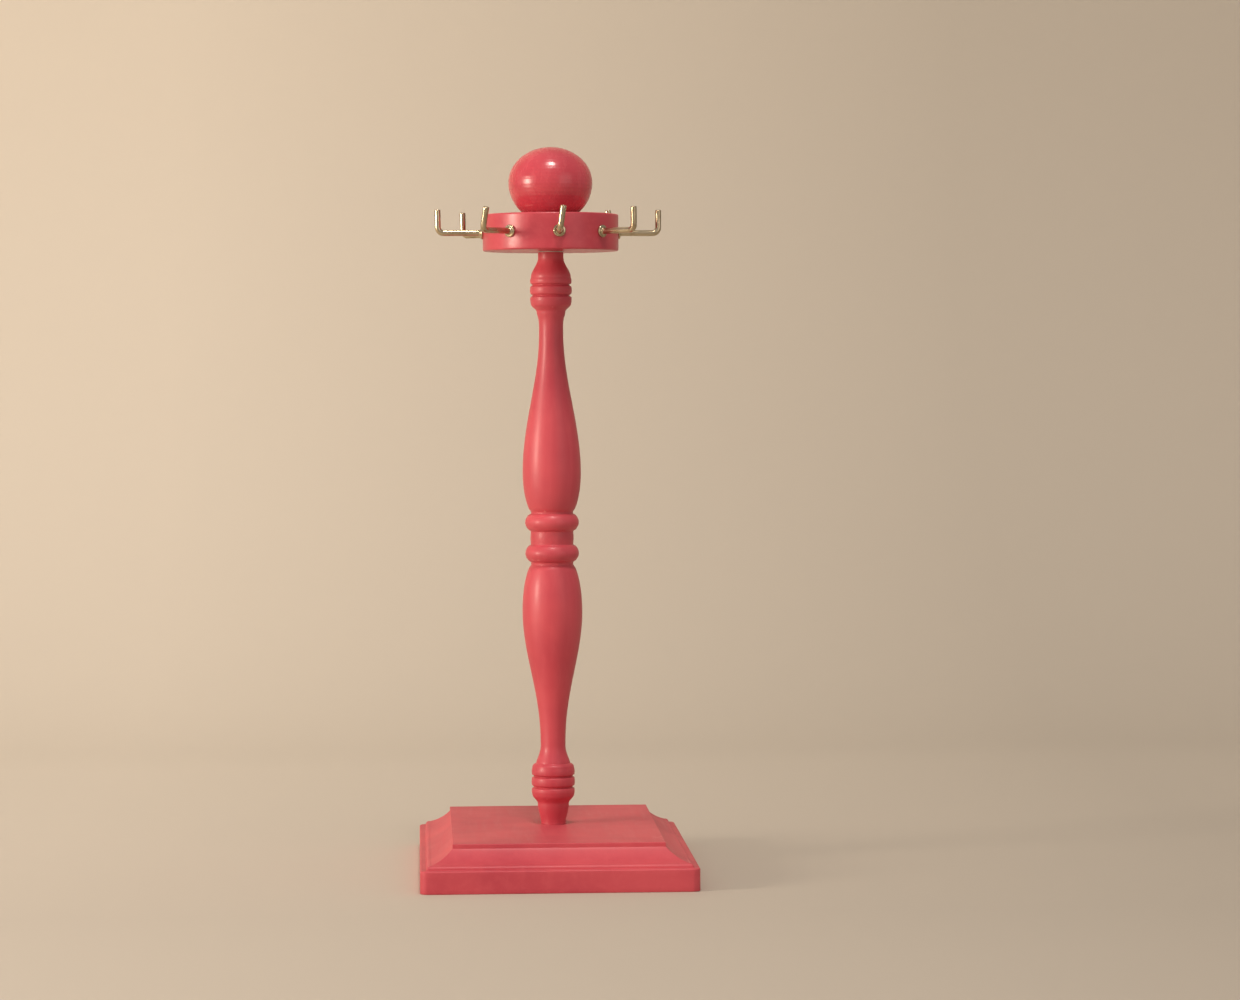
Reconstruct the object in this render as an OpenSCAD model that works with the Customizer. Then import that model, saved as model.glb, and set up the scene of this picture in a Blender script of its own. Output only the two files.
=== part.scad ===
// Hook tree: a turned wooden post stands on a moulded plinth and carries a
// revolving round disc with eight brass hooks, under a ball knob.
// Millimetres. +Z is up, the front faces -Y, and the origin is the centre of
// the plinth's underside.

/* [Plinth] */
// Width of the plinth, left to right
base_w = 129; // [110:1:160]
// Depth of the plinth, front to back
base_d = 178; // [150:1:220]
// Height of the plain slab at the bottom
slab_h = 10.7; // [9:0.1:14]
// Height of the routed moulding above the slab
mould_h = 10.5; // [9:0.1:11]
// How far the top face is set in from the slab's sides
mould_in = 15.1; // [13.5:0.1:18]
// Radius of the slab's upright corners
corner_r = 3.8; // [2:0.1:6]

/* [Post] */
// Height of the post's upper end above the surface it stands on
post_top = 296.4; // [290:0.1:310]
// Radius of the upper vase at its fullest
vase_hi_r = 14.05; // [12:0.05:16]
// Radius of the lower vase at its fullest
vase_lo_r = 14.45; // [12:0.05:16]
// Radius of the slender waists
waist_r = 5.95; // [5.2:0.1:7]
// Radius of the grooved collars near both ends
collar_r = 10.3; // [9.8:0.1:11]

/* [Disc] */
// Radius of the disc
disc_r = 32.6; // [28:0.1:40]
// Thickness of the disc
disc_h = 17.6; // [15:0.1:22]
// Radius of the disc's eased edges
disc_ease = 0.9; // [0.4:0.1:2]

/* [Knob] */
// Radius of the ball knob at its widest
ball_r = 20.2; // [18:0.1:24]
// Height of the knob above its widest level
ball_up = 17.2; // [15:0.1:20]
// Depth of the full ball shape below its widest level
ball_down = 19.3; // [16.5:0.1:22]

/* [Pin and washers] */
// Radius of the steel pin that the disc turns on
pin_r = 3; // [2.5:0.1:3.4]
// Length of the pin
pin_l = 54; // [48:1:58]
// Running clearance around the pin and between the faces
play = 0.05; // [0.02:0.01:0.1]
// Thickness of each washer
washer_t = 0.4; // [0.3:0.1:1]

/* [Hooks] */
// Number of hooks around the rim
hooks = 8; // [8:1:8]
// Radius of the hook wire
wire_r = 1.45; // [1:0.05:1.6]
// Distance of the hook's upright from the disc's axis
reach = 52.75; // [48:0.25:60]
// Height of the hook's tip above its arm
tip_up = 11.2; // [9:0.1:16]
// Radius of the bend along the middle of the wire
bend_r = 2.8; // [2:0.1:3.5]
// Radius of the shoulder flange
flange_r = 3; // [2.6:0.1:4]
// Thickness of the shoulder flange
flange_t = 1.1; // [1:0.1:2.5]

/* [Hidden] */
$fn = 96;
wood = [0.80, 0.27, 0.30];
brass = [0.80, 0.66, 0.36];
steel = [0.62, 0.63, 0.65];
nylon = [0.88, 0.86, 0.80];

base_h = slab_h + mould_h;
// The moulding, from its top edge down: a plain fillet, a shallow cove and a roll;
// the cove's and roll's centres are given from the top edge outwards
fillet_h = 2;
cove_r = 22;
cove_out = 16.4;
cove_up = 12.55;
roll_r = 1.9;
roll_out = 10.2;
roll_up = 0.1;
disc_z = post_top + washer_t + play;
ball_z = disc_z + disc_h + play + washer_t;
hook_z = disc_z + disc_h / 2;
// The knob is cut flat where it sits, this far below its widest level
ball_cut = 14.7;
// Angle of that cut on the knob's egg-shaped outline, in degrees from the widest level
ball_cut_a = -asin(ball_cut / ball_down);
ball_mid = ball_z + ball_cut;
washer_r = waist_r;
pin_sunk = 22;
pin_z = post_top - pin_sunk;
pin_bevel = 0.6;

// Details of the turning
foot_r = 6;
foot_top_r = 7.6;
throat_lo_r = 8.3;
throat_hi_r = 7;
neck_r = 6.15;
knop_r = 10.25;
bead_out = 2.7;
groove_in = 1.1;
groove_half = 0.8;

// Heights of the turned details: for each collar its lower edge, its two grooves
// and its upper edge; for each bead its two edges
foot_top = 31.2;
collar_lo = [35.4, 39.2, 44.4, 48.6];
throat_lo = 50.6;
waist_lo = 59.4;
vase_lo = 124;
knop_lo = 146.4;
bead_lo = [147.6, 156.1];
knop_mid = 159.3;
bead_hi = [162.5, 171];
knop_hi = 171.9;
vase_hi = 190.5;
waist_hi = 258.5;
throat_hi = 267.9;
collar_hi = [271.6, 275.7, 280.7, 284.2];
neck_z = 293.8;

// Tenon at the foot of the post, glued into the plinth
tenon_r = 5;
tenon_l = 10;
glue_gap = 0.05;
end_gap = 0.2;

// Wood screw up through the plinth into the post
screw_r = 2;
screw_core = 1.45;
screw_pitch = 1.6;
screw_head_r = 4.1;
screw_head_h = 2.2;
screw_z = 2;
screw_l = 32;
screw_gap = 0.2;
sink_r = 4.6;
slot_w = 1;
slot_l = 4.8;
slot_deep = 1.3;

// Screw end of a hook
shank_r = 1.7;
shank_core = 1.2;
shank_pitch = 1.3;
shank_l = 13;
hole_l = 13.4;
flange_bevel = 0.4;
tip_bevel = 0.5;
// The bend is a hair thicker than the straight wire, and they lap inside it
bend_swell = 0.03;
lap = 0.2;
lap_bevel = 0.05;
seat_lap = 0.5;

// One row per hook, starting at the front and going round towards +X:
// place around the disc, then how far the hand-set hook is out of true: arm
// swung sideways, upright leaning sideways, bend opened past square and arm
// raised, all in degrees, and arm longer in millimetres
hook_rows = [
    [5.2, -6.5, 8.5, 3, 0, 0],
    [46, 0, -3, 2, 0, 0],
    [95, 2, 2, 0.5, 0, -0.4],
    [145, 0, 0, 2, 5, 0],
    [187, 0, -2, 3, 0, 0],
    [232, 0, 1, 1, 0, 0],
    [271, 0, 1, 1.2, 0, 1.3],
    [321.9, -3, 14, 3, 0, 0]
];

function hook_names() = [for (i = [1 : hooks]) str("hook_", i)];
WOODEN = ["base_plinth", "turned_post", "hook_disc", "ball_knob"];
FITTINGS = ["pivot_pin", "lower_washer", "upper_washer", "base_screw"];

// ---- Turned outlines -------------------------------------------------------
// Each function gives the points [radius, height] of one turned stretch, from
// [r0, z0] up to, but not including, [r1, z1], in n steps.

// An S-curve that leaves and arrives upright; skew moves its fullest slope
function ease(r0, z0, r1, z1, skew = 1, n = 16) =
    [for (i = [0 : n - 1]) let (t = i / n)
        [r0 + (r1 - r0) * (1 - cos(180 * pow(t, skew))) / 2, z0 + (z1 - z0) * t]];

// A round shoulder that starts sloping and arrives upright
function shoulder(r0, z0, r1, z1, soft = 0.7, n = 10) =
    [for (i = [0 : n - 1]) let (t = i / n)
        [r0 + (r1 - r0) * pow(1 - pow(1 - t, 2), soft), z0 + (z1 - z0) * t]];

// The same shoulder upside down: starts upright and arrives sloping
function fall(r0, z0, r1, z1, soft = 0.7, n = 10) =
    [for (i = [0 : n - 1]) let (t = i / n)
        [r1 + (r0 - r1) * pow(1 - t * t, soft), z0 + (z1 - z0) * t]];

// A round bead standing out from radius r0
function bead(r0, z0, z1, out, n = 12) =
    [for (i = [0 : n - 1]) let (t = i / n)
        [r0 + out * pow(sin(180 * t), 0.65), z0 + (z1 - z0) * t]];

// A stretch between two radii that swells a little in the middle; it leaves
// out its first point too
function swell(r0, z0, r1, z1, n = 4) =
    [for (i = [1 : n - 1]) let (t = i / n)
        [r0 + (r1 - r0) * t + 0.2 * sin(180 * t), z0 + (z1 - z0) * t]];

// A narrow V-shaped groove, and a collar: a barrel with two such grooves, whose
// ends are a little slimmer than its middle
function groove(r, z) = [
    [r, z - groove_half],
    [r - groove_in, z],
    [r, z + groove_half]];
function collar(r, z) = concat(
    swell(r - 0.2, z[0], r, z[1] - groove_half),
    groove(r, z[1]),
    [[r + 0.2, (z[1] + z[2]) / 2]],
    groove(r, z[2]),
    swell(r, z[2] + groove_half, r - 0.2, z[3]));

function post_outline() = concat(
    [[0, base_h]],
    // Tapered foot and the lower collar
    ease(foot_r, base_h, foot_top_r, foot_top, n = 6),
    ease(foot_top_r, foot_top, collar_r - 0.2, collar_lo[0], n = 8),
    collar(collar_r, collar_lo),
    fall(collar_r - 0.2, collar_lo[3], throat_lo_r, throat_lo, n = 6),
    ease(throat_lo_r, throat_lo, waist_r + 0.1, waist_lo, skew = 0.7, n = 10),
    // Lower vase
    ease(waist_r + 0.1, waist_lo, vase_lo_r, vase_lo, skew = 1.1, n = 26),
    fall(vase_lo_r, vase_lo, knop_r - 0.1, knop_lo, n = 14),
    // Centre knop: bead, hollow, bead
    [[knop_r - 0.1, knop_lo]],
    bead(knop_r, bead_lo[0], bead_lo[1], bead_out),
    ease(knop_r, bead_lo[1], knop_r + 0.2, knop_mid, n = 3),
    ease(knop_r + 0.2, knop_mid, knop_r, bead_hi[0], n = 3),
    bead(knop_r, bead_hi[0], bead_hi[1], bead_out),
    [[knop_r - 0.1, bead_hi[1]]],
    // Upper vase
    shoulder(knop_r - 0.1, knop_hi, vase_hi_r, vase_hi, n = 14),
    ease(vase_hi_r, vase_hi, waist_r - 0.1, waist_hi, n = 26),
    // Upper collar, a little slimmer than the lower one, and the neck
    ease(waist_r - 0.1, waist_hi, throat_hi_r, throat_hi, skew = 2.2, n = 10),
    ease(throat_hi_r, throat_hi, collar_r - 0.6, collar_hi[0], skew = 0.9, n = 8),
    collar(collar_r - 0.4, collar_hi),
    ease(collar_r - 0.6, collar_hi[3], neck_r, neck_z, n = 12),
    [[neck_r, neck_z], [neck_r, post_top], [0, post_top]]);

// ---- Shared shapes ---------------------------------------------------------

// A screw thread shown as rings, with a pointed end, pointing up from z = 0
module thread(core, crest, pitch, length) {
    tip = 2 * crest;
    rings = floor((length - tip) / pitch);
    rotate_extrude()
        polygon(concat(
            [[0, 0], [core, 0]],
            [for (i = [0 : rings - 1]) each [
                [core, i * pitch + 0.3 * pitch],
                [crest, i * pitch + 0.6 * pitch],
                [core, i * pitch + 0.9 * pitch]]],
            [[core, length - tip], [0, length]]));
}

// A ring with a round hole
module washer(z) {
    translate([0, 0, z])
        difference() {
            cylinder(h = washer_t, r = washer_r);
            translate([0, 0, -1])
                cylinder(h = washer_t + 2, r = pin_r + play);
        }
}

// ---- Plinth ----------------------------------------------------------------

// Section through the whole moulding, between two sides the given distance
// apart; x runs across and y is the height above the ground
module mould_section(across) {
    top_x = across / 2 - mould_in;
    roll_x = top_x + roll_out;
    translate([-top_x, slab_h - 1])
        square([2 * top_x, mould_h + 1]);
    difference() {
        translate([-roll_x, slab_h - 1])
            square([2 * roll_x, mould_h + 1 - fillet_h]);
        for (side = [-1, 1])
            translate([side * (top_x + cove_out), base_h + cove_up])
                circle(r = cove_r);
    }
    for (side = [-1, 1])
        translate([side * roll_x, slab_h + roll_up])
            circle(r = roll_r);
}

module slab() {
    linear_extrude(height = slab_h)
        union() {
            square([base_w - 2 * corner_r, base_d], center = true);
            square([base_w, base_d - 2 * corner_r], center = true);
            for (x = [-1, 1], y = [-1, 1])
                translate([x * (base_w / 2 - corner_r), y * (base_d / 2 - corner_r)])
                    circle(r = corner_r);
        }
}

module base_plinth() {
    color(wood)
        difference() {
            union() {
                slab();
                intersection() {
                    rotate([90, 0, 0])
                        linear_extrude(height = base_d, center = true)
                            mould_section(base_w);
                    rotate([90, 0, 90])
                        linear_extrude(height = base_w, center = true)
                            mould_section(base_d);
                }
            }
            // Hole for the post's tenon
            translate([0, 0, base_h - tenon_l - end_gap])
                cylinder(h = tenon_l + 1, r = tenon_r + glue_gap);
            // Clearance hole, countersink and counterbore for the screw
            cylinder(h = base_h, r = screw_r + screw_gap);
            translate([0, 0, screw_z])
                cylinder(h = screw_head_h, r1 = screw_head_r, r2 = screw_r);
            translate([0, 0, -1])
                cylinder(h = screw_z + 1, r = sink_r);
        }
}

// ---- Post and knob ---------------------------------------------------------

module turned_post() {
    color(wood)
        difference() {
            union() {
                rotate_extrude()
                    polygon(post_outline());
                translate([0, 0, base_h - tenon_l])
                    cylinder(h = tenon_l + 1, r = tenon_r);
            }
            // Pilot hole for the base screw
            translate([0, 0, base_h - tenon_l - 1])
                cylinder(h = screw_l - tenon_l + 4, r = screw_r);
            // Blind hole that holds the pivot pin
            translate([0, 0, pin_z])
                cylinder(h = post_top - pin_z + 1, r = pin_r);
        }
}

function ball_outline(n = 24) = concat(
    [[0, ball_z], [ball_r * cos(ball_cut_a), ball_z]],
    [for (i = [1 : n]) let (a = 90 - (90 - ball_cut_a) * (n - i) / n)
        [ball_r * cos(a), ball_mid + sin(a) * (a > 0 ? ball_up : ball_down)]]);

module ball_knob() {
    color(wood)
        difference() {
            rotate_extrude()
                polygon(ball_outline());
            translate([0, 0, ball_z - 1])
                cylinder(h = pin_z + pin_l - ball_z + 1, r = pin_r);
        }
}

// ---- Disc ------------------------------------------------------------------

module disc_half() {
    square([disc_r - disc_ease, disc_h]);
    translate([0, disc_ease])
        square([disc_r, disc_h - 2 * disc_ease]);
    for (z = [disc_ease, disc_h - disc_ease])
        translate([disc_r - disc_ease, z])
            circle(r = disc_ease);
}

module hook_disc() {
    color(wood)
        difference() {
            translate([0, 0, disc_z])
                rotate_extrude()
                    disc_half();
            translate([0, 0, disc_z - 1])
                cylinder(h = disc_h + 2, r = pin_r + play);
            // Pilot holes for the hooks
            for (row = hook_rows)
                at_rim(row)
                    rotate([0, -90, 0])
                        translate([0, 0, -1])
                            cylinder(h = hole_l + 1, r = shank_r);
        }
}

// ---- Pin, washers and screw ------------------------------------------------

module pivot_pin() {
    color(steel)
        translate([0, 0, pin_z])
            rotate_extrude()
                polygon([
                    [0, 0],
                    [pin_r - pin_bevel, 0],
                    [pin_r, pin_bevel],
                    [pin_r, pin_l - pin_bevel],
                    [pin_r - pin_bevel, pin_l],
                    [0, pin_l]]);
}

module lower_washer() {
    color(nylon)
        washer(post_top);
}

module upper_washer() {
    color(nylon)
        washer(ball_z - washer_t);
}

module base_screw() {
    plain_l = base_h - tenon_l - screw_z;
    color(steel)
        translate([0, 0, screw_z])
            difference() {
                union() {
                    cylinder(h = screw_head_h, r1 = screw_head_r, r2 = screw_r);
                    cylinder(h = plain_l, r = screw_r);
                    translate([0, 0, plain_l])
                        thread(screw_core, screw_r, screw_pitch, screw_l - plain_l);
                }
                // Cross recess
                for (turn = [0, 90])
                    rotate([0, 0, turn])
                        translate([-slot_l / 2, -slot_w / 2, -1])
                            cube([slot_l, slot_w, slot_deep + 1]);
            }
}

// ---- Hooks -----------------------------------------------------------------

// Places its children at a hook's seat on the rim, with +X pointing outwards
module at_rim(row) {
    rotate([0, 0, row[0] - 90])
        translate([disc_r, 0, hook_z])
            children();
}

// A length of hook wire from z = -seat up to the given height, with a bevelled end
module wire(length, seat, bevel) {
    rotate_extrude()
        polygon([
            [0, -seat],
            [wire_r, -seat],
            [wire_r, length - bevel],
            [wire_r - bevel, length],
            [0, length]]);
}

module shoulder_flange() {
    rotate_extrude()
        polygon([
            [0, 0],
            [flange_r, 0],
            [flange_r, flange_t - flange_bevel],
            [flange_r - flange_bevel, flange_t],
            [0, flange_t]]);
}

// Arm, bend and upright, from the middle of the flange outwards along +X
module bent_wire(open, longer) {
    arm_l = reach - disc_r - flange_t / 2 - bend_r + longer;
    rotate([0, 90, 0])
        wire(arm_l + lap, lap, lap_bevel);
    translate([arm_l, 0, bend_r]) {
        rotate([90, 90, 0])
            rotate_extrude(angle = 90 - open)
                translate([bend_r, 0])
                    circle(r = wire_r + bend_swell);
        rotate([0, open, 0])
            translate([bend_r, 0, 0])
                wire(tip_up - bend_r, lap, tip_bevel);
    }
}

module hook(row) {
    color(brass)
        at_rim(row) {
            // Screw end inside the disc, fused to the shoulder that seats on the rim
            translate([seat_lap, 0, 0])
                rotate([0, -90, 0])
                    thread(shank_core, shank_r, shank_pitch, shank_l + seat_lap);
            rotate([0, 90, 0])
                shoulder_flange();
            translate([flange_t / 2, 0, 0])
                rotate([-row[2], -row[4], row[1]])
                    bent_wire(row[3], row[5]);
        }
}

base_plinth();
turned_post();
hook_disc();
ball_knob();
pivot_pin();
lower_washer();
upper_washer();
base_screw();
for (i = [1 : hooks])
    hook(hook_rows[i - 1]);
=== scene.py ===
"""Looks for the hook tree: painted wood, brass hooks, a pale studio sweep and the camera."""

import math

import bmesh
import bpy
from mathutils import Matrix, Vector, noise


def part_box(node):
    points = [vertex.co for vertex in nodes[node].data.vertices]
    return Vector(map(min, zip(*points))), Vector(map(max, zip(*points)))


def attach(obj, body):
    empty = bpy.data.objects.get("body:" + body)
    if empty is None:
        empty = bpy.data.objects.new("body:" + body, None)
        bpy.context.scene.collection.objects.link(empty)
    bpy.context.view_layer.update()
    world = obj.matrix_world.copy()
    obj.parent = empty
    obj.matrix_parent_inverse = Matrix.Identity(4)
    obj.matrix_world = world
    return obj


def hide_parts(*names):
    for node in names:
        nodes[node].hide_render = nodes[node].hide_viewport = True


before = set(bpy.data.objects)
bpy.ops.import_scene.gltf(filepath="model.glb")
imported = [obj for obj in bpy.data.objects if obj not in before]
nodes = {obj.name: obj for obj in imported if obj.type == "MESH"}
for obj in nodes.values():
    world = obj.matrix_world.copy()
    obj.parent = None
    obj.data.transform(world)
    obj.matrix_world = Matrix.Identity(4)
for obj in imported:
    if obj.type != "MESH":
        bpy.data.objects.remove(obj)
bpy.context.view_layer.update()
scene = bpy.context.scene

MM = 0.001

# ---- Where things are, from the frame -----------------------------------------

base_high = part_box("base_plinth")[1]
disc_low, disc_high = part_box("hook_disc")
ball_low, ball_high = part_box("ball_knob")
screw_low, screw_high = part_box("base_screw")

HALF_W = base_high.x
HALF_D = base_high.y
BASE_H = base_high.z
DISC_R = disc_high.x
HOOK_Z = (disc_low.z + disc_high.z) / 2
TOP_Z = ball_high.z

# ---- Sizes that the frame can't give, in millimetres as in the CAD --------------

SLAB_H = 10.7
MOULD_IN = 15.1
CORNER_R = 3.8
FILLET_H = 2.0
COVE_OUT, COVE_UP, COVE_R = 16.4, 12.55, 22.0
ROLL_OUT, ROLL_UP, ROLL_R = 10.2, 0.1, 1.9
# The plinth's mortise, then the post's tenon with its bevel, and the pilot hole's height
# above the plinth
MORTISE_R, MORTISE_L = 5.05, 10.2
TENON_R, TENON_L, TENON_BEVEL = 5.0, 10.0, 0.4
PILOT_UP = 15.0
BORE_R, SINK_R, SINK_H = 2.2, 4.6, 2.0
HOLE_EASE = 0.3  # how much the edges of holes are broken
HEAD_R, HEAD_H = 4.1, 2.2
PIN_R, PLAY = 3.0, 0.05
DISC_EASE = 0.9
WIRE_R, REACH, TIP_UP, BEND_R = 1.45, 52.75, 11.2, 2.8
FLANGE_R, FLANGE_T = 3.0, 1.1
SHANK_CORE, SHANK_CREST, SHANK_PITCH, SHANK_L = 1.2, 1.7, 1.3, 13.0
SCREW_CORE, SCREW_CREST, SCREW_PITCH = 1.45, 2.0, 1.6
THREAD_HALF = 0.32  # half the width of a thread's ridge, as a share of its pitch

# Insets of the loops across the plinth's flat faces, and the radius of the last, round one
TOP_INSETS, UNDER_INSETS, ROUND_R = (18, 26, 36, 48), (40, 20, 6), 12

# One row per hook, as in the CAD: place around the disc, arm swung sideways,
# upright leaning sideways, bend opened past square and arm raised, in degrees,
# and arm longer, in millimetres
HOOK_ROWS = [
    (5.2, -6.5, 8.5, 3, 0, 0),
    (46, 0, -3, 2, 0, 0),
    (95, 2, 2, 0.5, 0, -0.4),
    (145, 0, 0, 2, 5, 0),
    (187, 0, -2, 3, 0, 0),
    (232, 0, 1, 1, 0, 0),
    (271, 0, 1, 1.2, 0, 1.3),
    (321.9, -3, 14, 3, 0, 0),
]


# ---- Mesh helpers ----------------------------------------------------------------


def make_piece(name, verts, faces, sharp_deg=40):
    """A mesh object with smooth shading, broken at edges sharper than sharp_deg."""
    mesh = bpy.data.meshes.new(name)
    mesh.from_pydata([tuple(v) for v in verts], [], faces)
    bm = bmesh.new()
    bm.from_mesh(mesh)
    bmesh.ops.recalc_face_normals(bm, faces=bm.faces)
    bm.to_mesh(mesh)
    bm.free()
    mesh.shade_smooth()
    mesh.set_sharp_from_angle(angle=math.radians(sharp_deg))
    piece = bpy.data.objects.new(name, mesh)
    scene.collection.objects.link(piece)
    return piece


def loft(rings, wrap=False, cap_start=False, cap_end=False):
    """Vertices and faces through rings of equal length; wrap joins the last ring to the first."""
    count = len(rings[0])
    verts = [v for ring in rings for v in ring]
    faces = []
    spans = len(rings) if wrap else len(rings) - 1
    for i in range(spans):
        a, b = i * count, (i + 1) % len(rings) * count
        for j in range(count):
            k = (j + 1) % count
            faces.append((a + j, a + k, b + k, b + j))
    for wanted, start in ((cap_start, 0), (cap_end, (len(rings) - 1) * count)):
        if wanted:
            centre = sum((Vector(v) for v in verts[start:start + count]), Vector()) / count
            verts.append(centre)
            tip = len(verts) - 1
            faces += [(start + j, start + (j + 1) % count, tip) for j in range(count)]
    return verts, faces


def circle(radius, z, count):
    """A ring of points round the Z axis."""
    turns = [2 * math.pi * i / count for i in range(count)]
    return [Vector((radius * math.cos(t), radius * math.sin(t), z)) for t in turns]


def lathe(name, outline, count=144, closed=False):
    """A turned piece. outline is [(radius, z), ...] in mm, from axis to axis or closed."""
    inner = [p for p in outline if p[0] > 1e-6]
    rings = [circle(r * MM, z * MM, count) for r, z in inner]
    verts, faces = loft(rings, wrap=closed, cap_start=not closed, cap_end=not closed)
    return make_piece(name, verts, faces)


def arc(centre, radius, start, end, steps):
    """Points of an arc in (x, z), from start to end degrees, both included."""
    angles = [math.radians(start + (end - start) * i / steps) for i in range(steps + 1)]
    return [(centre[0] + radius * math.cos(a), centre[1] + radius * math.sin(a)) for a in angles]


def smooth_run(points, steps):
    """A Catmull-Rom curve through the points, with steps spans between neighbours."""
    if len(points) < 3:
        return list(points)
    padded = [points[0]] + list(points) + [points[-1]]
    out = []
    for i in range(1, len(padded) - 2):
        p0, p1, p2, p3 = (Vector(padded[i + k]) for k in (-1, 0, 1, 2))
        for s in range(steps):
            t = s / steps
            curve = (2 * p1) + (p2 - p0) * t + (2 * p0 - 5 * p1 + 4 * p2 - p3) * t * t
            out.append(tuple(0.5 * (curve + (3 * p1 - p0 - 3 * p2 + p3) * t * t * t)))
    return out + [tuple(points[-1])]


def turned_outline(node, hole_r, hole_top, corner_deg=22, steps=3):
    """The outer outline of a turned CAD node, in millimetres, smoothed between its corners.

    Points within hole_r of the axis and not above hole_top belong to its holes and are left out.
    """
    widest = {}
    for v in nodes[node].data.vertices:
        r, z = math.hypot(v.co.x, v.co.y) / MM, round(v.co.z / MM, 3)
        if r > hole_r or z > hole_top:
            widest[z] = max(widest.get(z, 0), r)
    points = [(widest[z], z) for z in sorted(widest)]
    runs, run = [], [points[0]]
    for before, here, after in zip(points, points[1:], points[2:]):
        run.append(here)
        one = math.atan2(here[0] - before[0], here[1] - before[1])
        two = math.atan2(after[0] - here[0], after[1] - here[1])
        if abs(math.degrees(two - one)) > corner_deg:
            runs.append(run)
            run = [here]
    runs.append(run + [points[-1]])
    outline = []
    for run in runs:
        outline += smooth_run(run, steps)[:-1]
    return outline + [points[-1]]


def soften(outline, cut=0.12):
    """Rounds the sharp corners of an outline a little, as paint does."""
    out = [outline[0]]
    for before, here, after in zip(outline, outline[1:], outline[2:]):
        a, b, c = Vector(before), Vector(here), Vector(after)
        into, away = b - a, c - b
        if into.length < 1e-6 or away.length < 1e-6:
            continue
        if into.angle(away) > math.radians(22):
            reach = min(cut, into.length * 0.45, away.length * 0.45)
            out += [tuple(b - into.normalized() * reach), tuple(b + away.normalized() * reach)]
        else:
            out.append(here)
    return out + [outline[-1]]


def wobble(piece, depth, size):
    """Presses the surface in by up to depth, in a slow pattern, like hand-sanded wood."""
    verts = piece.data.vertices
    inward = [-v.normal for v in verts]
    for v, way in zip(verts, inward):
        level = 0.5 + 0.5 * noise.noise(v.co / size)
        v.co += way * depth * min(1, max(0, level))


def finish_piece(piece, body, slot, material, *replaced):
    """Gives a piece its material, hangs it on the body that it rides on and hides the CAD nodes
    that it stands for.
    """
    piece.data.materials.append(material)
    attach(piece, body)
    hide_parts(*replaced)


# ---- Materials -------------------------------------------------------------------


class Shader:
    """A new material with its Principled shader, and short ways to add nodes to it."""

    def __init__(self, name):
        self.material = bpy.data.materials.new(name)
        self.material.use_nodes = True
        self.tree = self.material.node_tree
        self.bsdf = self.tree.nodes["Principled BSDF"]
        coords = self.tree.nodes.new("ShaderNodeTexCoord")
        self.place = coords.outputs["Object"]

    def node(self, kind, inputs=(), **settings):
        made = self.tree.nodes.new("ShaderNode" + kind)
        for key, value in settings.items():
            setattr(made, key, value)
        for key, value in dict(inputs).items():
            self.feed(made.inputs[key], value)
        return made

    def feed(self, socket, value):
        if isinstance(value, bpy.types.NodeSocket):
            self.tree.links.new(value, socket)
        else:
            socket.default_value = value

    def set(self, **values):
        for key, value in values.items():
            self.feed(self.bsdf.inputs[key.replace("_", " ")], value)

    def stretched(self, scale):
        """Object coordinates scaled per axis, for grain that runs one way."""
        return self.node("Mapping", {"Vector": self.place, "Scale": scale}).outputs["Vector"]

    def noise(self, scale, detail=3.0, rough=0.55, vector=None):
        made = self.node("TexNoise", {
            "Vector": vector or self.place, "Scale": scale, "Detail": detail, "Roughness": rough})
        return made.outputs["Fac"]

    def spread(self, value, low, high, to_low, to_high):
        made = self.node("MapRange", {
            "Value": value, "From Min": low, "From Max": high,
            "To Min": to_low, "To Max": to_high})
        return made.outputs["Result"]

    def mix(self, factor, one, two, blend="MIX"):
        made = self.node("Mix", data_type="RGBA", blend_type=blend)
        self.feed(made.inputs[0], factor)
        self.feed(made.inputs[6], one)
        self.feed(made.inputs[7], two)
        return made.outputs[2]

    def bump(self, height, strength, distance, under=None):
        inputs = {"Height": height, "Strength": strength, "Distance": distance}
        if under:
            inputs["Normal"] = under
        return self.node("Bump", inputs).outputs["Normal"]


CORAL = (0.60, 0.070, 0.092, 1)
CORAL_DEEP = (0.50, 0.046, 0.070, 1)
CORAL_PALE = (0.67, 0.115, 0.135, 1)
RUBBED = (0.78, 0.26, 0.25, 1)
BRASS = (0.58, 0.49, 0.33, 1)
BRASS_DULL = (0.34, 0.25, 0.14, 1)
PAPER, PAPER_PALE = (0.69, 0.63, 0.525, 1), (0.72, 0.66, 0.55, 1)
# The dark end of the backdrop paper's painted fall-off of light
PAINTED_SHADE = (0, 0, 0, 1)


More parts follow.
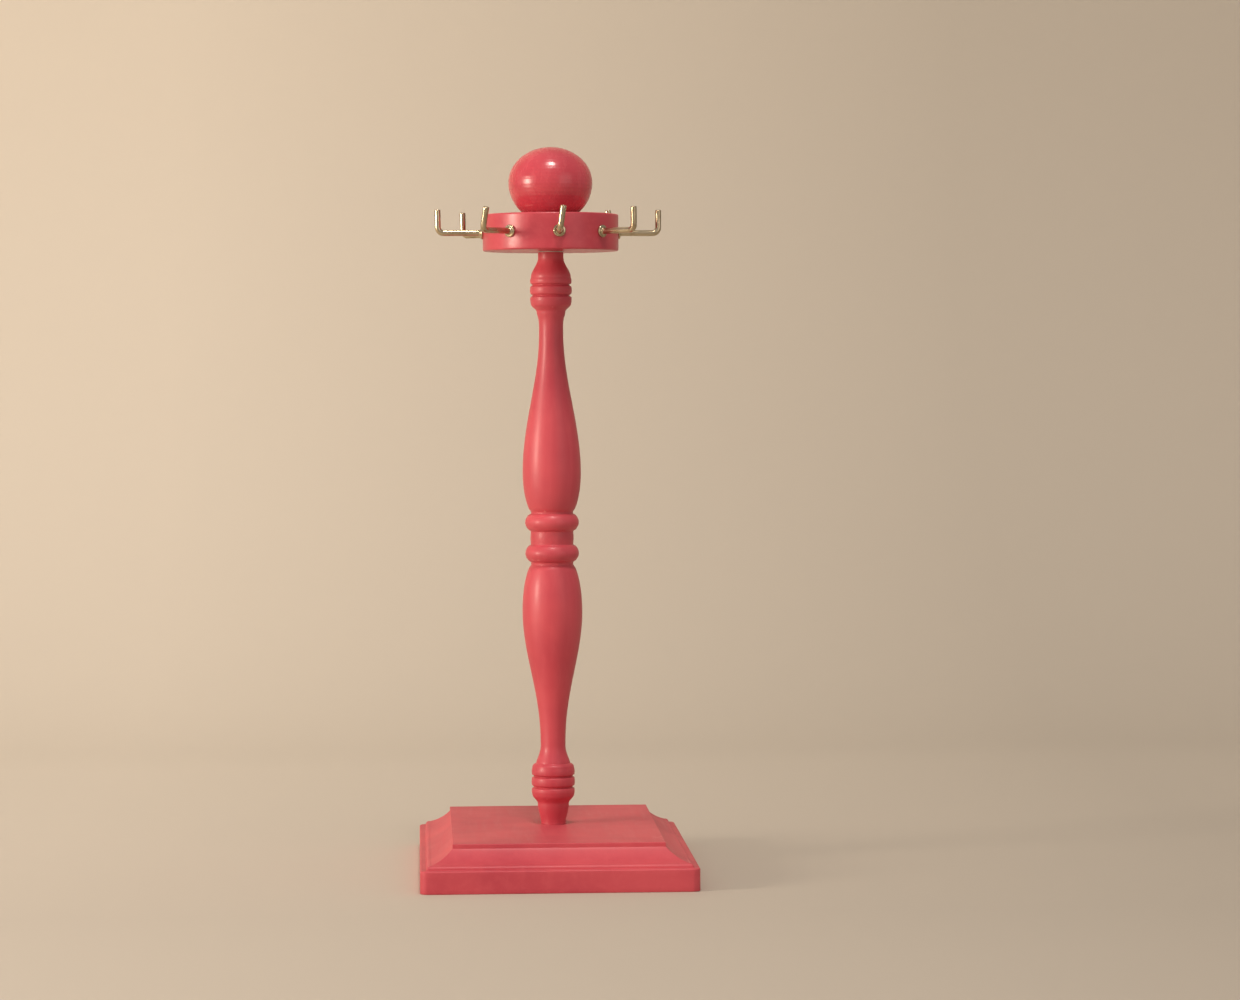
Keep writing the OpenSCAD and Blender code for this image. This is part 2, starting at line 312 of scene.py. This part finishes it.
def paint(name, grain, gloss):
    """Satin enamel over sanded wood.

    grain scales the pattern along X, Y and Z: below 1 draws it out that way. gloss is the
    lowest roughness.
    """
    s = Shader(name)
    along = s.stretched(grain)
    clouds = s.noise(28, 3, 0.5)
    streaks = s.noise(260, 4, 0.6, along)
    brush = s.noise(900, 2, 0.5, along)
    peel = s.noise(1500, 2, 0.4)
    colour = s.mix(s.spread(clouds, 0.35, 0.65, 0, 1), CORAL_DEEP, CORAL)
    colour = s.mix(s.spread(streaks, 0.45, 0.75, 0, 0.25), colour, CORAL_PALE)
    edge = s.node("NewGeometry").outputs["Pointiness"]
    worn = s.node("Math", {0: s.spread(edge, 0.52, 0.60, 0, 1), 1: s.noise(160, 4, 0.7)},
                  operation="MULTIPLY").outputs[0]
    colour = s.mix(s.spread(worn, 0.30, 0.75, 0, 0.55), colour, RUBBED)
    # Painted shade: the colour is darkened towards the deep coral in hollows and inner corners,
    # where the pointiness is low
    painted_hollow_shade = s.spread(edge, 0.38, 0.46, 0.5, 0)
    colour = s.mix(painted_hollow_shade, colour, CORAL_DEEP)
    normal = s.bump(streaks, 0.12, 0.0002)
    normal = s.bump(brush, 0.18, 0.00012, normal)
    normal = s.bump(peel, 0.10, 0.00010, normal)
    rough = s.spread(streaks, 0.3, 0.7, gloss, gloss + 0.12)
    s.set(Base_Color=colour, Normal=normal, Roughness=rough)
    s.set(Specular_IOR_Level=0.5, Coat_Weight=0.12, Coat_Roughness=0.22)
    return s.material


def brass(name):
    """Brass plate over drawn wire, a little dulled where it has been handled."""
    s = Shader(name)
    tarnish = s.noise(260, 4, 0.6)
    fine = s.noise(1800, 2, 0.5)
    colour = s.mix(s.spread(tarnish, 0.45, 0.75, 0, 1), BRASS, BRASS_DULL)
    s.set(Base_Color=colour, Metallic=1.0, Roughness=s.spread(tarnish, 0.3, 0.7, 0.12, 0.26))
    s.set(Normal=s.bump(fine, 0.10, 0.00002))
    return s.material


def steel(name):
    """Zinc-plated steel with a faint mottle."""
    s = Shader(name)
    mottle = s.noise(700, 3, 0.6)
    colour = s.mix(s.spread(mottle, 0.3, 0.7, 0, 1), (0.52, 0.53, 0.55, 1), (0.68, 0.68, 0.66, 1))
    s.set(Base_Color=colour, Metallic=1.0, Roughness=s.spread(mottle, 0.3, 0.7, 0.26, 0.42))
    s.set(Normal=s.bump(mottle, 0.2, 0.00005))
    return s.material


def nylon(name):
    """Natural nylon, which is slightly translucent; shaded here as opaque, with a faint mottle.
    """
    s = Shader(name)
    mottle = s.noise(500, 2, 0.5)
    colour = s.mix(mottle, (0.72, 0.69, 0.60, 1), (0.80, 0.78, 0.70, 1))
    s.set(Base_Color=colour, Roughness=s.spread(mottle, 0, 1, 0.4, 0.55))
    s.set(Normal=s.bump(mottle, 0.2, 0.0001))
    return s.material


def backdrop_paper(name):
    """Pale warm paper, painted darker towards the right and towards the viewer: a painted
    fall-off of light.

    Its far side is clear, so the object can be seen from behind too.
    """
    s = Shader(name)
    clouds = s.noise(2.2, 2, 0.5)
    fibre = s.noise(420, 3, 0.6)
    colour = s.mix(clouds, PAPER, PAPER_PALE)
    split = s.node("SeparateXYZ", {"Vector": s.place})
    # Painted fall-off of light: the paper's colour is darkened towards the right and towards the
    # viewer, by its place in the room
    across = s.spread(split.outputs["X"], -0.25, 0.35, 1.0, 0.73)
    along = s.spread(split.outputs["Y"], -0.15, 0.45, 0.80, 1.0)
    level = s.node("Math", {0: across, 1: along}, operation="MULTIPLY").outputs[0]
    colour = s.mix(level, PAINTED_SHADE, colour)
    s.set(Base_Color=colour, Roughness=0.85, Normal=s.bump(fibre, 0.15, 0.0003))
    sided = s.node("MixShader", {0: s.node("NewGeometry").outputs["Backfacing"]})
    s.feed(sided.inputs[1], s.bsdf.outputs["BSDF"])
    s.feed(sided.inputs[2], s.node("BsdfTransparent").outputs["BSDF"])
    s.feed(s.tree.nodes["Material Output"].inputs["Surface"], sided.outputs["Shader"])
    return s.material


# ---- Plinth ----------------------------------------------------------------------


def rounded_rectangle(inset, z, per_corner=8, per_side=20):
    """One loop round the plinth, inset from the slab's sides, in millimetres."""
    radius = max(CORNER_R - inset, 0.15)
    x, y = HALF_W / MM - inset, HALF_D / MM - inset
    loop = []
    corners = [(x, y, 0), (-x, y, 90), (-x, -y, 180), (x, -y, 270)]
    for i, (cx, cy, turn) in enumerate(corners):
        centre = (cx - math.copysign(radius, cx), cy - math.copysign(radius, cy))
        bend = arc(centre, radius, turn, turn + 90, per_corner)
        nx, ny, _ = corners[(i + 1) % 4]
        start = Vector(bend[-1])
        next_centre = Vector((nx - math.copysign(radius, nx), ny - math.copysign(radius, ny)))
        out = Vector((math.cos(math.radians(turn + 90)), math.sin(math.radians(turn + 90))))
        end = next_centre + out * radius
        loop += bend
        loop += [tuple(start.lerp(end, k / per_side)) for k in range(1, per_side)]
    return [Vector((px * MM, py * MM, z * MM)) for px, py in loop]


def hole_loop(radius, z, like):
    """A circle with one point facing each point of another loop."""
    up = Vector((0, 0, z * MM))
    return [Vector((v.x, v.y, 0)).normalized() * radius * MM + up for v in like]


def moulding_section():
    """The edge from the underside to the top face: [(inset, height), ...] in millimetres."""
    top = BASE_H / MM
    roll = (MOULD_IN - ROLL_OUT, SLAB_H + ROLL_UP)
    cove = (MOULD_IN - COVE_OUT, top + COVE_UP)
    # Where the cove's circle meets the roll's, on the roll's upper side
    gap = Vector(cove) - Vector(roll)
    share = (ROLL_R ** 2 + gap.length ** 2 - COVE_R ** 2) / (2 * ROLL_R * gap.length)
    lean = math.degrees(math.acos(share))
    meet = math.degrees(math.atan2(gap.y, gap.x)) - lean
    way = Vector((math.cos(math.radians(meet)), math.sin(math.radians(meet))))
    touch = Vector(roll) + ROLL_R * way
    down = Vector(touch) - Vector(cove)
    start = math.degrees(math.atan2(down.y, down.x))
    end = -math.degrees(math.acos(COVE_OUT / COVE_R))
    section = [(0.5, 0), (0.12, 0.12), (0, 0.5)]
    section += [(0, SLAB_H * k / 4) for k in (1, 2, 3)]
    section += arc((0.8, SLAB_H - 0.8), 0.8, 180, 90, 6)
    section += [(1.6, SLAB_H), (roll[0] - ROLL_R - 0.2, SLAB_H)]
    section += arc(roll, ROLL_R, 178, meet, 14)
    section += arc(cove, COVE_R, start, end, 22)[1:]
    section += [(MOULD_IN + 0.05, top - FILLET_H + 0.5)]
    section += arc((MOULD_IN + 0.45, top - 0.4), 0.4, 175, 90, 5)
    return section


def build_plinth():
    section = moulding_section()
    rings = [rounded_rectangle(inset, z) for inset, z in section]
    top = BASE_H / MM
    rings += [rounded_rectangle(inset, top) for inset in TOP_INSETS]
    like = rings[-1]
    inside = [(ROUND_R, top), (MORTISE_R + HOLE_EASE, top), (MORTISE_R, top - HOLE_EASE),
              (MORTISE_R, top - MORTISE_L), (BORE_R, top - MORTISE_L), (BORE_R, SINK_H + HEAD_H),
              (HEAD_R, SINK_H), (SINK_R, SINK_H), (SINK_R, HOLE_EASE), (SINK_R + HOLE_EASE, 0),
              (ROUND_R, 0)]
    rings += [hole_loop(r, z, like) for r, z in inside]
    rings += [rounded_rectangle(inset, 0) for inset in UNDER_INSETS]
    verts, faces = loft(rings, wrap=True)
    return make_piece("plinth", verts, faces, sharp_deg=35)


# ---- Post, knob, disc and washers ------------------------------------------------


def build_post():
    outline = soften(turned_outline("turned_post", MORTISE_R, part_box("turned_post")[1].z / MM))
    outer = [p for p in outline if p[1] > BASE_H / MM + 0.01]
    top = outline[-1][1]
    foot = outer[0][0]
    base = BASE_H / MM
    pin_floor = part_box("pivot_pin")[0].z / MM
    below = [(0, base + PILOT_UP), (SCREW_CREST, base + PILOT_UP), (SCREW_CREST, base - TENON_L),
             (TENON_R - TENON_BEVEL, base - TENON_L), (TENON_R, base - TENON_L + TENON_BEVEL),
             (TENON_R, base), (foot, base)]
    above = [(foot, top), (PIN_R + HOLE_EASE, top), (PIN_R, top - HOLE_EASE), (PIN_R, pin_floor),
             (0, pin_floor)]
    return lathe("post", below + outer[:-1] + above, count=120)


def build_knob():
    seat, pin_top = ball_low.z / MM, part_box("pivot_pin")[1].z / MM
    outline = turned_outline("ball_knob", PIN_R + PLAY, pin_top + 0.1, corner_deg=60, steps=4)
    outer = [p for p in outline if p[1] > seat + 0.4 and p[0] > 0.2]
    rim = min(r for r, z in outline if z < seat + 0.2)
    bore = [(0, pin_top), (PIN_R, pin_top), (PIN_R, seat + HOLE_EASE), (PIN_R + HOLE_EASE, seat)]
    flat = [(rim - 0.3, seat), (rim, seat + 0.12)]
    return lathe("knob", bore + flat + outer + [(0, TOP_Z / MM)])


def build_disc():
    low, high = disc_low.z / MM, disc_high.z / MM
    radius = DISC_R / MM
    bore = PIN_R + PLAY
    ease = DISC_EASE
    side = [(radius, low + ease + (high - low - 2 * ease) * k / 8) for k in range(1, 8)]
    face = [bore + HOLE_EASE + (radius - ease - bore - HOLE_EASE) * k / 10 for k in range(11)]
    outline = [(bore, high - HOLE_EASE), (bore, low + HOLE_EASE)]
    outline += [(r, low) for r in face]
    outline += arc((radius - ease, low + ease), ease, -80, 0, 7) + side
    outline += arc((radius - ease, high - ease), ease, 0, 80, 7)
    outline += [(r, high) for r in reversed(face)]
    return lathe("disc", outline, count=192, closed=True)


def build_washer(name, node):
    low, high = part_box(node)
    z0, z1 = low.z / MM, high.z / MM
    out = high.x / MM
    inn = PIN_R + PLAY
    edge = 0.12
    outline = [(inn, z0 + edge), (inn + edge, z0), (out - edge, z0), (out, z0 + edge),
               (out, z1 - edge), (out - edge, z1), (inn + edge, z1), (inn, z1 - edge)]
    return lathe(name, outline, count=96, closed=True)


# ---- Wire and threads -------------------------------------------------------------


def ring_at(place, radius, count):
    """A ring of points round place's X axis. radius is a number or a function of the angle."""
    ring = []
    for i in range(count):
        angle = 2 * math.pi * i / count
        r = radius(angle) if callable(radius) else radius
        ring.append(place @ Vector((0, r * math.cos(angle) * MM, r * math.sin(angle) * MM)))
    return ring


def shift(x=0, y=0, z=0):
    return Matrix.Translation(Vector((x, y, z)) * MM)


def turn(axis, degrees):
    return Matrix.Rotation(math.radians(degrees), 4, axis)


def thread_radius(along, core, crest, pitch):
    """The radius of a screw thread at a distance along it, as a function of the angle."""

    def radius(angle):
        phase = (along / pitch - angle / (2 * math.pi)) % 1
        rise = max(0.0, 1 - abs(phase - 0.5) / THREAD_HALF)
        return core + (crest - core) * rise

    return radius


def build_hook(name, row, count=36):
    """Screw end, shoulder, arm, bend and upright as one lofted skin."""
    place, swing, lean, opened, raised, longer = row
    rim = turn("Z", place - 90) @ shift(x=DISC_R / MM) @ shift(z=HOOK_Z / MM)
    rings = []
    # Screw end, from its point out to the rim
    for along, r in ((0.0, 0.15), (0.6, 0.35), (1.4, 0.75), (2.6, SHANK_CORE)):
        rings.append(ring_at(rim @ shift(x=-SHANK_L + along), r, count))
    steps = int((SHANK_L - 4.4) / SHANK_PITCH * 12)
    for i in range(steps + 1):
        along = 3.0 + (SHANK_L - 4.4) * i / steps
        fade = min(1, i / 12, (steps - i) / 6)
        crest = SHANK_CORE + (SHANK_CREST - SHANK_CORE) * fade
        r = thread_radius(along, SHANK_CORE, crest, SHANK_PITCH)
        rings.append(ring_at(rim @ shift(x=-SHANK_L + along), r, count))
    rings.append(ring_at(rim @ shift(x=-0.3), WIRE_R, count))
    # Shoulder flange with rounded edges and a small fillet to the wire
    flange = [(0, 1.5), (0, FLANGE_R - 0.2), (0.06, FLANGE_R - 0.06), (0.2, FLANGE_R),
              (FLANGE_T - 0.45, FLANGE_R), (FLANGE_T - 0.25, FLANGE_R - 0.08),
              (FLANGE_T - 0.07, FLANGE_R - 0.3), (FLANGE_T, FLANGE_R - 0.6), (FLANGE_T, 2.0)]
    for x, r in flange:
        rings.append(ring_at(rim @ shift(x=x), r, count))
    # Arm and bend, in their own slightly crooked frame
    arm = rim @ shift(x=FLANGE_T / 2) @ turn("Z", swing) @ turn("Y", -raised) @ turn("X", -lean)
    arm_l = REACH - DISC_R / MM - FLANGE_T / 2 - BEND_R + longer
    for x, r in ((0.72, 1.75), (0.95, WIRE_R + 0.08), (1.5, WIRE_R)):
        rings.append(ring_at(arm @ shift(x=x), r, count))
    for k in range(1, 8):
        rings.append(ring_at(arm @ shift(x=1.8 + (arm_l - 1.8) * k / 8), WIRE_R, count))
    bend_steps = 14
    sweep = 90 - opened
    for k in range(bend_steps + 1):
        at = sweep * k / bend_steps
        swell = 0.03 * math.sin(math.pi * k / bend_steps)
        spot = arm @ shift(x=arm_l, z=BEND_R) @ turn("Y", -at) @ shift(z=-BEND_R)
        rings.append(ring_at(spot, WIRE_R + swell, count))
    # Upright with a domed tip
    up = arm @ shift(x=arm_l, z=BEND_R) @ turn("Y", -sweep) @ shift(z=-BEND_R)
    up_l = TIP_UP - BEND_R
    dome = 0.5
    for k in range(1, 7):
        rings.append(ring_at(up @ shift(x=(up_l - dome) * k / 6), WIRE_R, count))
    for k in range(1, 7):
        a = math.radians(90 * k / 6.6)
        r = WIRE_R - dome + dome * math.cos(a)
        rings.append(ring_at(up @ shift(x=up_l - dome + dome * math.sin(a)), r, count))
    verts, faces = loft(rings, cap_start=True, cap_end=True)
    return make_piece(name, verts, faces, sharp_deg=50)


def build_screw(count=48):
    """The base screw: countersunk head with a cross recess, plain neck and helical thread."""
    z0 = screw_low.z / MM
    length = (screw_high.z - screw_low.z) / MM
    up = turn("Y", -90)

    def level(z, r):
        return ring_at(shift(z=z0 + z) @ up, r, count)

    neck_r = SCREW_CREST - 0.08
    rings = [level(0, HEAD_R - 0.9), level(0, HEAD_R - 0.1), level(0.1, HEAD_R - 0.02),
             level(0.25, HEAD_R - 0.2), level(HEAD_H, SCREW_CREST), level(HEAD_H + 0.4, neck_r),
             level(8.6, neck_r)]
    # Thread, from the end of the plain neck to the start of the point
    start, end = 9.2, length - 4
    steps = int((end - start) / SCREW_PITCH * 14)
    for i in range(steps + 1):
        z = start + (end - start) * i / steps
        crest = SCREW_CORE + (SCREW_CREST - SCREW_CORE) * min(1, i / 8)
        rings.append(level(z, thread_radius(z, SCREW_CORE, crest, SCREW_PITCH)))
    rings += [level(length - 3.6, SCREW_CORE), level(length - 1, 0.5), level(length - 0.1, 0.1)]
    verts, faces = loft(rings, cap_start=True, cap_end=True)
    screw = make_piece("screw", verts, faces)
    # Cut the cross recess with two tapered blades
    blade_rings = []
    for z, half_long, half_wide in ((-0.5, 2.5, 0.62), (1.5, 1.2, 0.36)):
        blade_rings.append([Vector((x * half_long, y * half_wide, z0 + z)) * MM
                            for x, y in ((-1, -1), (1, -1), (1, 1), (-1, 1))])
    for k in range(2):
        verts, faces = loft([[turn("Z", 90 * k + 20) @ v for v in ring] for ring in blade_rings],
                            cap_start=True, cap_end=True)
        blade = make_piece(f"blade_{k}", verts, faces)
        cut = screw.modifiers.new("recess", "BOOLEAN")
        cut.object = blade
        cut.solver = "EXACT"
        bpy.context.view_layer.update()
        cut_screw = screw.evaluated_get(bpy.context.evaluated_depsgraph_get())
        shaped = bpy.data.meshes.new_from_object(cut_screw)
        screw.modifiers.clear()
        screw.data = shaped
        bpy.data.objects.remove(blade)
    screw.data.shade_smooth()
    screw.data.set_sharp_from_angle(angle=math.radians(35))
    return screw


# ---- Studio ----------------------------------------------------------------------


def build_sweep():
    """The floor, curving up into the backdrop well behind the object."""
    front, turn_y, radius, height, half = -2.6, 0.55, 0.5, 2.2, 2.6
    columns = 8
    profile = [(front + (turn_y - front) * k / 6, 0.0) for k in range(6)]
    for degrees in range(0, 91, 6):
        a = math.radians(degrees)
        profile.append((turn_y + radius * math.sin(a), radius - radius * math.cos(a)))
    profile += [(turn_y + radius, radius + (height - radius) * k / 4) for k in range(1, 5)]
    across = [-half + 2 * half * i / columns for i in range(columns + 1)]
    verts = [Vector((x, y, z)) for y, z in profile for x in across]
    row = columns + 1
    faces = [(r * row + c, r * row + c + 1, (r + 1) * row + c + 1, (r + 1) * row + c)
             for r in range(len(profile) - 1) for c in range(columns)]
    sweep = make_piece("sweep", verts, faces, sharp_deg=60)
    # The paper's clear side is the back, so the floor has to face up
    if sweep.data.polygons[0].normal.z < 0:
        sweep.data.flip_normals()
    sweep.data.materials.append(backdrop_paper("sweep_paper"))


def add_area(name, place, aim, size, power, colour):
    light = bpy.data.lights.new(name, "AREA")
    light.shape = "RECTANGLE"
    light.size = size
    light.size_y = size
    light.energy = power
    light.color = colour
    lamp = bpy.data.objects.new(name, light)
    lamp.location = place
    lamp.rotation_euler = (Vector(aim) - Vector(place)).to_track_quat("-Z", "Y").to_euler()
    scene.collection.objects.link(lamp)


# The room is bright towards the window on the left and dim towards the right:
# from this direction, to this direction, strength at the first, at the second
ROOM_LIGHT = (-0.5, 0.9, 0.55, 0.33)


def light_scene():
    add_area("key_window", (-1.62, -0.66, 0.44), (0, 0, 0.20), 0.42, 21, (1.0, 0.83, 0.68))
    add_area("ceiling_lamp", (0.03, -0.62, 1.75), (0, 0, 0.15), 0.30, 13.5, (1.0, 0.88, 0.80))
    add_area("room_bounce", (1.35, -1.7, 0.75), (0, 0, 0.18), 1.3, 4.5, (1.0, 0.86, 0.78))
    world = bpy.data.worlds.new("room")
    world.use_nodes = True
    tree = world.node_tree
    background = tree.nodes["Background"]
    background.inputs["Color"].default_value = (1.0, 0.90, 0.84, 1)
    coords = tree.nodes.new("ShaderNodeTexCoord")
    split = tree.nodes.new("ShaderNodeSeparateXYZ")
    level = tree.nodes.new("ShaderNodeMapRange")
    level.interpolation_type = "SMOOTHSTEP"
    for socket, value in zip(list(level.inputs)[1:5], ROOM_LIGHT):
        socket.default_value = value
    tree.links.new(coords.outputs["Generated"], split.inputs["Vector"])
    tree.links.new(split.outputs["X"], level.inputs["Value"])
    tree.links.new(level.outputs["Result"], background.inputs["Strength"])
    scene.world = world


CAMERA_PLACE = (-0.0636, -1.7464, 0.2386)
CAMERA_YAW = 3.16
CAMERA_PITCH = 2.01
CAMERA_ROLL = -0.24
CAMERA_LENS = 105.5


def add_camera():
    """The camera, nearly level: pitched down, yawed towards +X and rolled, in degrees."""
    data = bpy.data.cameras.new("camera")
    data.lens = CAMERA_LENS
    data.sensor_width = 36
    data.clip_end = 20
    camera = bpy.data.objects.new("camera", data)
    camera.matrix_world = (Matrix.Translation(CAMERA_PLACE) @ turn("Z", -CAMERA_YAW)
                           @ turn("X", 90 - CAMERA_PITCH) @ turn("Z", CAMERA_ROLL))
    scene.collection.objects.link(camera)
    scene.camera = camera


# ---- Put it together ---------------------------------------------------------------

add_camera()
build_sweep()
light_scene()
scene.view_settings.view_transform = "Standard"

post_paint = paint("paint_turned", (1.0, 1.0, 0.08), 0.44)
knob_paint = paint("paint_knob", (1.0, 1.0, 0.5), 0.20)
disc_paint = paint("paint_disc", (1.0, 0.25, 1.0), 0.32)
board_paint = paint("paint_board", (1.0, 0.08, 1.0), 0.54)
hook_brass = brass("brass_plate")
plain_steel = steel("zinc_steel")
washer_nylon = nylon("washer_nylon")

plinth = build_plinth()
wobble(plinth, 0.00006, 0.03)
finish_piece(plinth, "stand", "coral_paint", board_paint, "base_plinth")

post = build_post()
wobble(post, 0.00008, 0.012)
finish_piece(post, "stand", "coral_paint", post_paint, "turned_post")

knob = build_knob()
wobble(knob, 0.00008, 0.015)
finish_piece(knob, "stand", "coral_paint", knob_paint, "ball_knob")

disc = build_disc()
wobble(disc, 0.00008, 0.02)
finish_piece(disc, "carousel", "coral_paint", disc_paint, "hook_disc")

for number, row in enumerate(HOOK_ROWS, 1):
    hook = build_hook(f"hook_wire_{number}", row)
    finish_piece(hook, "carousel", "hook_brass", hook_brass, f"hook_{number}")

for washer in ("lower_washer", "upper_washer"):
    ring = build_washer(f"{washer}_ring", washer)
    finish_piece(ring, "stand", "washer_nylon", washer_nylon, washer)

finish_piece(build_screw(), "stand", "pin_steel", plain_steel, "base_screw")
# The pin stays as the CAD made it
nodes["pivot_pin"].data.materials.clear()
nodes["pivot_pin"].data.materials.append(plain_steel)
